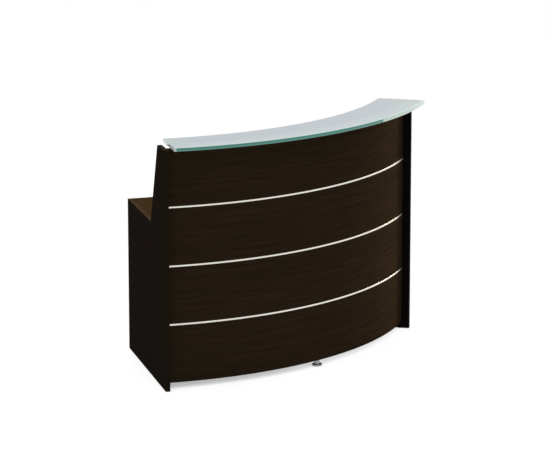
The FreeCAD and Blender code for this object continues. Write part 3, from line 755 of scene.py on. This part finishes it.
class Palette:
    """Every finish on the counter."""

    FRONT = Wood(
        "wenge_front", Grain.ROUND_THE_CURVE,
        dark=paint(56, 45, 33), middle=paint(66, 53, 39), light=paint(78, 63, 46), roughness=0.5)
    ENDS = EndBoard(
        "wenge_ends", Grain.UPRIGHT,
        dark=paint(39, 31, 24), middle=paint(44, 35, 28), light=paint(49, 39, 31), roughness=0.5)
    DESK = Wood(
        "wenge_desk", Grain.LEVEL,
        dark=paint(59, 43, 24), middle=paint(66, 48, 27), light=paint(74, 55, 31), roughness=0.45)
    EDGING = Edging(
        "edging_wood", Grain.UPRIGHT,
        dark=paint(46, 39, 30), middle=paint(52, 44, 34), light=paint(59, 50, 39), roughness=0.45)
    TIMBER = Wood(
        "upright_timber", Grain.UPRIGHT,
        dark=paint(58, 40, 26), middle=paint(88, 62, 40), light=paint(112, 82, 54), roughness=0.6)
    LEVEL_TIMBER = replace(TIMBER, name="level_timber", grain=Grain.ROUND_THE_CURVE)
    BEECH = Wood(
        "beech_wood", Grain.ROUND_THE_CURVE,
        dark=paint(176, 132, 88), middle=paint(204, 164, 118), light=paint(220, 184, 140), roughness=0.55)
    ALUMINIUM = BrushedMetal("aluminium_strip", paint(240, 236, 229), roughness=0.3, line_scale=2200)
    STEEL = BrushedMetal("steel_arm", paint(196, 196, 194), roughness=0.28, line_scale=1400)
    CHROME = PlatedMetal("chrome_foot", paint(150, 148, 150), roughness=0.1)
    ZINC = PlatedMetal("zinc_screw", paint(186, 188, 190), roughness=0.3)
    BLACK_PLASTIC = Moulded("black_moulding", paint(24, 24, 25), roughness=0.45)
    BROWN_PLASTIC = Moulded("brown_moulding", paint(52, 38, 27), roughness=0.42)
    RUBBER = Moulded("rubber_pad", paint(214, 216, 212), roughness=0.4)
    GLASS = FrostedGlass(
        "glass_sheet",
        face=paint(192, 200, 207),
        face_floor_light=paint(199, 209, 215),
        face_end=paint(194, 206, 205),
        arris_highlight=paint(206, 224, 223),
        edge_upper=paint(80, 197, 176),
        edge_lower=paint(119, 222, 200),
        end_edge_light=paint(238, 246, 246),
        mirror=paint(190, 201, 196),
        end_painted_glow=(0.16, 0.19, 0.185),
        mirror_start=0.482,
        mirror_full=0.494,
        mirror_upper=0.85,
        face_band=0.12,
        end_band=0.012,
        arris_highlight_band=0.024,
        margin=0.035,
    )


def dress(finish: Finish, *nodes: str) -> None:
    """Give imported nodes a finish.

    Args:
        finish: The finish.
        nodes: The nodes' names.
    """
    for node in nodes:
        finish.put_on(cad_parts[node])
        log.info("%s dressed with %s", node, finish.name)


def solids_of(node: str) -> list[np.ndarray]:
    """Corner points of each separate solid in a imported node.

    Args:
        node: The node's name.

    Returns:
        One array of points for each solid.
    """
    mesh = bmesh.new()
    mesh.from_mesh(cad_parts[node].data)
    bmesh.ops.remove_doubles(mesh, verts=mesh.verts, dist=SAME_PLACE)
    left = set(mesh.verts)
    solids = []
    while left:
        reached = [left.pop()]
        for vertex in reached:
            for edge in vertex.link_edges:
                other = edge.other_vert(vertex)
                if other in left:
                    left.remove(other)
                    reached.append(other)
        solids.append(np.array([v.co[:] for v in reached]))
    mesh.free()
    return sorted(solids, key=lambda points: tuple(np.round(points.mean(0), 5)))


class Picked(Enum):
    """What is picked in edit mode, with the name of a mesh's list of it."""

    FACE = "faces"
    EDGE = "edges"


class Bench:
    """Steps that model a piece by hand."""

    LEVEL: ClassVar[float] = 0.9
    BEVEL_STEPS: ClassVar[int] = 2

    @staticmethod
    def cylinder(name: str, radius: float, bottom: float, top: float, sides: int) -> bpy.types.Object:
        """Start a piece from an upright cylinder.

        Args:
            name: The piece's name.
            radius: The cylinder's radius.
            bottom: Height of its lower face.
            top: Height of its upper face.
            sides: Number of side faces.

        Returns:
            The new object, the only one selected.
        """
        bpy.ops.object.select_all(action="DESELECT")
        bpy.ops.mesh.primitive_cylinder_add(
            vertices=sides, radius=radius, depth=top - bottom, location=(0, 0, (top + bottom) / 2))
        piece = bpy.context.object
        piece.name = name
        bpy.ops.object.transform_apply(location=True, rotation=True, scale=True)
        return piece

    @staticmethod
    def select_only(*pieces: bpy.types.Object) -> None:
        """Select some pieces alone, the first of them active.

        Args:
            pieces: The pieces.
        """
        bpy.ops.object.select_all(action="DESELECT")
        for piece in pieces:
            piece.select_set(True)
        bpy.context.view_layer.objects.active = pieces[0]

    @staticmethod
    def pick(piece: bpy.types.Object, kind: Picked, test: Union[FaceTest, EdgeTest]) -> None:
        """Select the faces or edges that pass a test, in edit mode.

        Args:
            piece: The piece.
            kind: Faces or edges.
            test: Tells whether one of them is picked.
        """
        bpy.context.view_layer.objects.active = piece
        bpy.ops.object.mode_set(mode="EDIT")
        bpy.ops.mesh.select_mode(type=kind.name)
        bpy.ops.mesh.select_all(action="DESELECT")
        mesh = bmesh.from_edit_mesh(piece.data)
        for element in getattr(mesh, kind.value):
            element.select_set(test(element))
        bmesh.update_edit_mesh(piece.data)

    @classmethod
    def top_at(cls, height: float) -> FaceTest:
        """Make a test for a level face at a height.

        Args:
            height: The height.

        Returns:
            The test.
        """
        def at_height(face: bmesh.types.BMFace) -> bool:
            """Whether a face is level and at the height."""
            away = abs(face.calc_center_median().z - height)
            return away < SAME_PLACE and abs(face.normal.z) > cls.LEVEL

        return at_height

    @classmethod
    def step(cls, piece: bpy.types.Object, height: float, inset: float, rise: float) -> float:
        """Narrow the level face at a height, and push it up or down.

        Args:
            piece: The piece.
            height: Height of the face.
            inset: How far its rim moves in.
            rise: How far it is then extruded, negative for down.

        Returns:
            The face's new height.
        """
        cls.pick(piece, Picked.FACE, cls.top_at(height))
        if inset:
            bpy.ops.mesh.inset(thickness=inset, depth=0)
        if rise:
            bpy.ops.mesh.extrude_region_move(TRANSFORM_OT_translate={"value": (0, 0, rise)})
        bpy.ops.object.mode_set(mode="OBJECT")
        return height + rise

    @classmethod
    def ease(cls, piece: bpy.types.Object, size: float, test: EdgeTest) -> None:
        """Bevel the edges that pass a test.

        Args:
            piece: The piece.
            size: The bevel's offset.
            test: Tells whether an edge is bevelled.
        """
        cls.pick(piece, Picked.EDGE, test)
        bpy.ops.mesh.bevel(offset=size, segments=cls.BEVEL_STEPS, affect="EDGES")
        bpy.ops.object.mode_set(mode="OBJECT")

    @classmethod
    def cut(cls, piece: bpy.types.Object, tool: bpy.types.Object) -> None:
        """Cut a tool's shape out of a piece and throw the tool away.

        Args:
            piece: The piece.
            tool: The tool.
        """
        cls.select_only(piece)
        modifier = piece.modifiers.new("recess", "BOOLEAN")
        modifier.operation = "DIFFERENCE"
        modifier.solver = "EXACT"
        modifier.object = tool
        bpy.ops.object.modifier_apply(modifier=modifier.name)
        bpy.data.objects.remove(tool)

    @classmethod
    def smooth(cls, piece: bpy.types.Object, degrees: float) -> None:
        """Shade a piece smooth but for its sharp edges."""
        cls.select_only(piece)
        bpy.ops.object.shade_smooth_by_angle(angle=math.radians(degrees))

    @staticmethod
    def copy_to(pattern: bpy.types.Object, name: str, place: Matrix) -> bpy.types.Object:
        """Copy a piece, with a mesh of its own.

        Args:
            pattern: The piece that is copied.
            name: The copy's name.
            place: The copy's turn and place.

        Returns:
            The copy.
        """
        mesh = pattern.data.copy()
        mesh.transform(place)
        piece = bpy.data.objects.new(name, mesh)
        bpy.context.scene.collection.objects.link(piece)
        return piece


def settle(piece: bpy.types.Object, finish: Finish, node: str) -> None:
    """Finish a new piece, hang it on the counter and let it stand for its node.

    Args:
        piece: The piece.
        finish: The piece's finish.
        node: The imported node's name.
    """
    finish.put_on(piece)
    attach(piece, COUNTER)
    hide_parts(node)
    log.info("%s made for %s", piece.name, node)


@dataclass
class CoverCaps:
    """Domed caps over the panel screws, on the sitter's side of the front."""

    node: str = "screw_cover_caps"
    slot: str = "brown_plastic"
    rim_share: float = 0.45
    rim_inset_share: float = 0.22
    dome_share: float = 0.8
    dome_inset_share: float = 0.34
    outer_share: float = 0.9
    sides: int = 28
    smooth_angle: float = 60

    def pattern(self, flange: float, height: float, plug: float, length: float) -> bpy.types.Object:
        """One cap with its dome up.

        Args:
            flange: Flange radius.
            height: Flange height at its middle.
            plug: Plug radius.
            length: Plug length below the flange.

        Returns:
            The cap, its seat at the origin.
        """
        rim = height * self.rim_share
        cap = Bench.cylinder("cover_cap", flange, 0, rim, self.sides)
        rise = height * (self.dome_share - self.rim_share)
        level = Bench.step(cap, rim, flange * self.rim_inset_share, rise)
        Bench.step(cap, level, flange * self.dome_inset_share, height * (1 - self.dome_share))
        Bench.step(cap, 0, flange - plug, -length)
        Bench.smooth(cap, self.smooth_angle)
        return cap

    def build(self) -> None:
        """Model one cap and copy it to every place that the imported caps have."""
        pattern = None
        for number, points in enumerate(solids_of(self.node), start=1):
            middle = Vector(points.mean(0))
            out = CURVE.outward(middle)
            reach = (points - np.array((0, CURVE.axis_y, 0))) @ np.array(out)
            heights = points[:, 2] - middle.z
            flange = (heights.max() - heights.min()) / 2
            near, far = reach.min(), reach.max()
            plug_points = np.abs(heights[reach > far - NEARBY])
            seat = reach[np.abs(heights) > flange * self.outer_share].max()
            if pattern is None:
                pattern = self.pattern(flange, seat - near, plug_points.max(), far - seat)
            place = Vector((0, CURVE.axis_y, middle.z)) + out * seat
            turn = (-out).to_track_quat("Z", "Y").to_matrix().to_4x4()
            cap = Bench.copy_to(pattern, f"cover_cap_{number:02d}", Matrix.Translation(place) @ turn)
            settle(cap, Palette.BROWN_PLASTIC, self.node)
        bpy.data.objects.remove(pattern)


@dataclass
class CrossScrews:
    """Screws with a cross recess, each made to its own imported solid."""

    HEAD_OUTER_SHARE: ClassVar[float] = 0.9

    node: str
    recess_share: float = 0.62
    recess_width_share: float = 0.2
    recess_depth_share: float = 0.6
    ease_share: float = 0.16
    rim_share: float = 0.98
    tip_inset_share: float = 0.8
    sides: int = 24
    smooth_angle: float = 35

    @classmethod
    def measure(cls, points: np.ndarray) -> tuple[Vector, Vector, tuple[float, float, float, float]]:
        """Read a screw off its solid.

        Args:
            points: The solid's corner points.

        Returns:
            Middle of the head's outer face, direction from the head to the tip, and the head's radius and
            height, the shank's radius and the whole length.
        """
        middle = points.mean(0)
        axis = np.linalg.svd(points - middle)[2][0]
        along = (points - middle) @ axis
        aside = np.linalg.norm(points - middle - np.outer(along, axis), axis=1)
        head = aside > aside.max() * cls.HEAD_OUTER_SHARE
        if along[head].mean() > 0:
            axis, along = -axis, -along
        start, seat, tip = along.min(), along[head].max(), along.max()
        sizes = (aside.max(), seat - start, aside[~head].max(), tip - start)
        return Vector(middle + axis * start), Vector(axis), tuple(round(float(s), 6) for s in sizes)

    def pattern(self, head: float, height: float, shank: float, length: float) -> bpy.types.Object:
        """One screw, head face at the origin and tip up.

        Args:
            head: Head radius.
            height: Head height.
            shank: Shank radius.
            length: Whole length.

        Returns:
            The screw.
        """
        screw = Bench.cylinder(f"{self.node}_pattern", head, 0, height, self.sides)
        level = Bench.step(screw, height, head - shank, length - height - shank)
        Bench.step(screw, level, 0, shank)
        Bench.step(screw, length, shank * self.tip_inset_share, 0)
        rim = head * self.rim_share
        Bench.ease(screw, head * self.ease_share, lambda edge: all(
            abs(v.co.z) < SAME_PLACE and v.co.xy.length > rim for v in edge.verts))
        half = head * self.recess_share
        width = head * self.recess_width_share
        depth = height * self.recess_depth_share
        for size in ((half, width, depth), (width, half, depth)):
            bpy.ops.object.select_all(action="DESELECT")
            bpy.ops.mesh.primitive_cube_add(size=2)
            tool = bpy.context.object
            tool.scale = size
            bpy.ops.object.transform_apply(location=True, rotation=True, scale=True)
            Bench.cut(screw, tool)
        Bench.smooth(screw, self.smooth_angle)
        return screw

    def build(self) -> None:
        """Model one screw of each length and copy it to every packed screw."""
        patterns: dict[tuple[float, ...], bpy.types.Object] = {}
        for number, points in enumerate(solids_of(self.node), start=1):
            place, axis, sizes = self.measure(points)
            if sizes not in patterns:
                patterns[sizes] = self.pattern(*sizes)
            turn = axis.to_track_quat("Z", "Y").to_matrix().to_4x4()
            name = f"{self.node.rstrip('s')}_{number:02d}"
            screw = Bench.copy_to(patterns[sizes], name, Matrix.Translation(place) @ turn)
            settle(screw, Palette.ZINC, self.node)
        for pattern in patterns.values():
            bpy.data.objects.remove(pattern)


@dataclass
class ThreadedStud:
    """The foot's stud, with its thread."""

    node: str = "foot_stud"
    pitch: float = 1.5 * MILLIMETRE
    root_share: float = 0.84
    end_ring_shares: Limits = (0.15, 0.2)
    sunk_share: float = 0.2
    flank_share: float = 0.47
    sides: int = 32
    smooth_angle: float = 30

    def build(self) -> None:
        """A core and a helical ridge round it."""
        low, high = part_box(self.node)
        radius = (high.x - low.x) / 2
        root = radius * self.root_share
        centre = Vector(((low.x + high.x) / 2, (low.y + high.y) / 2, 0))
        core = Bench.cylinder(self.node + "_threaded", root, low.z, high.z, self.sides)
        for share in self.end_ring_shares:
            Bench.step(core, high.z, root * share, 0)
        Bench.select_only(core, self.ridge(root, radius, low.z, high.z))
        bpy.ops.object.join()
        Bench.smooth(core, self.smooth_angle)
        core.data.transform(Matrix.Translation(centre))
        settle(core, Palette.ZINC, self.node)

    def ridge(self, root: float, crest: float, low: float, high: float) -> bpy.types.Object:
        """Thread ridge, a three-cornered section wound up the core.

        Args:
            root: Radius of the core.
            crest: Radius of the thread's crest.
            low: Height where the thread starts.
            high: Height where it ends.

        Returns:
            The ridge.
        """
        bpy.ops.object.select_all(action="DESELECT")
        bpy.ops.mesh.primitive_circle_add(vertices=3, radius=1, fill_type="NOTHING")
        ridge = bpy.context.object
        sunk = root - (crest - root) * self.sunk_share
        flank = self.pitch * self.flank_share
        corners = ((crest, 0), (sunk, flank), (sunk, -flank))
        start = low + self.pitch
        for vertex, (out, up) in zip(ridge.data.vertices, corners):
            vertex.co = (out, 0, start + up)
        turns = int((high - low - 2 * self.pitch) / self.pitch)
        winding = ridge.modifiers.new("thread", "SCREW")
        winding.screw_offset = self.pitch
        winding.iterations = turns
        winding.steps = self.sides
        winding.render_steps = self.sides
        bpy.ops.object.modifier_apply(modifier=winding.name)
        bpy.ops.object.mode_set(mode="EDIT")
        bpy.ops.mesh.select_all(action="SELECT")
        bpy.ops.mesh.remove_doubles(threshold=WELD)
        bpy.ops.mesh.select_mode(type="VERT")
        bpy.ops.mesh.select_all(action="DESELECT")
        bpy.ops.mesh.select_non_manifold()
        bpy.ops.mesh.edge_face_add()
        bpy.ops.mesh.select_all(action="SELECT")
        bpy.ops.mesh.normals_make_consistent(inside=False)
        bpy.ops.object.mode_set(mode="OBJECT")
        return ridge


@dataclass
class CurvedFront:
    """Backing, four front panels, three inlay strips and what fixes them."""

    panels: tuple[str, ...] = (
        "front_panel_bottom", "front_panel_lower", "front_panel_upper", "front_panel_top")
    strips: tuple[str, ...] = ("inlay_strip_lower", "inlay_strip_middle", "inlay_strip_upper")

    def build(self) -> None:
        """Dress the boards and strips, and make the caps."""
        dress(Palette.FRONT, "front_backing", *self.panels)
        dress(Palette.ALUMINIUM, *self.strips)
        dress(Palette.BEECH, "front_dowels")
        dress(Palette.ZINC, "front_panel_screws")
        CoverCaps().build()


@dataclass
class Ends:
    """Two end panels with their edging, corner battens and glides."""

    sides: tuple[str, ...] = ("left", "right")

    def build(self) -> None:
        """Dress both ends."""
        for side in self.sides:
            dress(Palette.ENDS, f"end_panel_{side}")
            dress(Palette.EDGING, f"end_panel_{side}_edging")
            dress(Palette.TIMBER, f"corner_batten_{side}")
        dress(Palette.BLACK_PLASTIC, "floor_glides")


@dataclass
class Desk:
    """Worksurface, its edging and the ledgers that carry it."""

    ledgers: tuple[str, ...] = (
        "worksurface_ledger_front", "worksurface_ledger_left", "worksurface_ledger_right")

    def build(self) -> None:
        """Dress the boards and make the screws that show under them."""
        dress(Palette.DESK, "worksurface")
        dress(Palette.EDGING, "worksurface_edging")
        dress(Palette.LEVEL_TIMBER, *self.ledgers)
        CrossScrews("worksurface_screws").build()
        CrossScrews("frame_screws").build()


@dataclass
class GlassTop:
    """Glass sheet on its steel arms and soft pads."""

    def build(self) -> None:
        """Dress the glass, arms and pads, and make the arms' screws."""
        dress(Palette.GLASS, "glass_top")
        dress(Palette.STEEL, "glass_arms")
        dress(Palette.RUBBER, "glass_pads")
        CrossScrews("glass_arm_screws").build()


@dataclass
class LevellingFoot:
    """Screw foot under the middle of the front."""

    def build(self) -> None:
        """Dress the foot and make its stud and the plate's screws."""
        dress(Palette.CHROME, "foot_flange", "foot_barrel")
        dress(Palette.BLACK_PLASTIC, "foot_pad")
        dress(Palette.ZINC, "foot_plate")
        ThreadedStud().build()
        CrossScrews("foot_plate_screws").build()


@dataclass(frozen=True)
class Lamp:
    """Square soft lamp that looks at the counter."""

    name: str
    place: tuple[float, float, float]
    width: float
    power: float
    tint: Colour = WHITE

    def hang(self, target: Vector) -> None:
        """Hang the lamp and turn it to its target.

        Args:
            target: The point that it looks at.
        """
        light = bpy.data.lights.new(self.name, "AREA")
        light.shape = "SQUARE"
        light.size = self.width
        light.energy = self.power
        light.color = self.tint
        lamp = bpy.data.objects.new(self.name, light)
        lamp.location = self.place
        lamp.rotation_mode = "QUATERNION"
        lamp.rotation_quaternion = (target - Vector(self.place)).to_track_quat("-Z", "Y")
        bpy.context.scene.collection.objects.link(lamp)


@dataclass
class Studio:
    """White floor, soft lamps and the camera."""

    floor_width: float = 90.0
    floor_bounce: float = 0.4
    floor_levels: tuple[Limits, ...] = (
        (0.06, 0.36), (0.14, 0.46), (0.24, 0.75), (0.42, 0.88), (0.56, 1.0))
    shadow_reach: float = 1.2
    shadow_fade: Limits = (-0.6, 0.3)
    shadow_lift: float = 0.45
    ambient: float = 0.3
    key: Lamp = Lamp("key", place=(8.85, 0.93, 2.0), width=2.0, power=580, tint=(1.0, 0.8, 0.5))
    overhead: Lamp = Lamp("overhead", place=(0.0, 0.0, 7.0), width=3.0, power=222)
    target_height: float = 0.6
    aim: tuple[float, float, float] = (0.0465, -0.032, 0.6281)
    distance: float = 14.9302
    heading: float = 44.7588
    pitch: float = 12.9577
    lens: float = 202.128
    sensor: float = 36.0
    clip_shares: Limits = (0.01, 10.0)

    def build(self) -> None:
        """Set up floor, world, lamps and camera."""
        self.lay_floor()
        self.light_world()
        target = Vector((0, 0, self.target_height))
        self.key.hang(target)
        self.overhead.hang(target)
        self.place_camera()
        bpy.context.scene.view_settings.view_transform = "Standard"

    @staticmethod
    def seen(graph: Graph) -> Reading:
        """Tell the rays that show the background: straight from the camera, mirrored or through glass.

        Args:
            graph: The node tree.

        Returns:
            1 for these rays, 0 for the others.
        """
        path = graph.node("ShaderNodeLightPath").outputs
        straight = Reading(graph, path["Is Camera Ray"])
        mirrored = Reading(graph, path["Is Glossy Ray"])
        through = Reading(graph, path["Is Transmission Ray"])
        return straight.larger(mirrored).larger(through)

    def lay_floor(self) -> None:
        """Floor that shows white, with a soft shadow where the counter covers it."""
        bpy.ops.object.select_all(action="DESELECT")
        bpy.ops.mesh.primitive_plane_add(size=self.floor_width)
        floor = bpy.context.object
        floor.name = "studio_floor"
        material = bpy.data.materials.new("studio_floor")
        material.use_nodes = True
        graph = Graph(material.node_tree)
        covered = graph.node("ShaderNodeAmbientOcclusion", None, {"Distance": self.shadow_reach})
        openness = Reading(graph, covered.outputs["AO"])
        shown = graph.ramp(openness, [(place, (level,) * 3) for place, level in self.floor_levels])
        across, _, _ = graph.place()
        shown = graph.mix(across.climb(*self.shadow_fade) * self.shadow_lift, shown, WHITE)
        matt = graph.node("ShaderNodeBsdfDiffuse", None, {"Color": (self.floor_bounce,) * 3})
        white = graph.node("ShaderNodeEmission", None, {"Color": shown})
        inputs = {0: self.seen(graph), 1: matt.outputs[0], 2: white.outputs[0]}
        both = graph.node("ShaderNodeMixShader", None, inputs)
        graph.node("ShaderNodeOutputMaterial", None, {"Surface": both.outputs[0]})
        floor.data.materials.append(material)

    def light_world(self) -> None:
        """White surroundings that light the counter softly."""
        world = bpy.data.worlds.new("studio")
        world.use_nodes = True
        bpy.context.scene.world = world
        graph = Graph(world.node_tree)
        shown = graph.mix(self.seen(graph), (self.ambient,) * 3, WHITE)
        sky = graph.node("ShaderNodeBackground", None, {"Color": shown})
        graph.node("ShaderNodeOutputWorld", None, {"Surface": sky.outputs[0]})

    def place_camera(self) -> None:
        """Camera at the photograph's viewing angle."""
        turn, dip = math.radians(self.heading), math.radians(self.pitch)
        ahead = Vector((math.sin(turn) * math.cos(dip), math.cos(turn) * math.cos(dip), -math.sin(dip)))
        data = bpy.data.cameras.new("camera")
        data.lens = self.lens
        data.sensor_width = self.sensor
        near, far = self.clip_shares
        data.clip_start = self.distance * near
        data.clip_end = self.distance * far
        camera = bpy.data.objects.new("camera", data)
        camera.location = Vector(self.aim) - ahead * self.distance
        camera.rotation_mode = "QUATERNION"
        camera.rotation_quaternion = ahead.to_track_quat("-Z", "Y")
        bpy.context.scene.collection.objects.link(camera)
        bpy.context.scene.camera = camera


def main() -> None:
    """Build the counter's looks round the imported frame."""
    logging.basicConfig(level=logging.INFO, format="%(message)s")
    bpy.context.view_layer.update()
    for part in (CurvedFront(), Ends(), Desk(), GlassTop(), LevellingFoot(), Studio()):
        part.build()


if __name__ == "__main__":
    main()
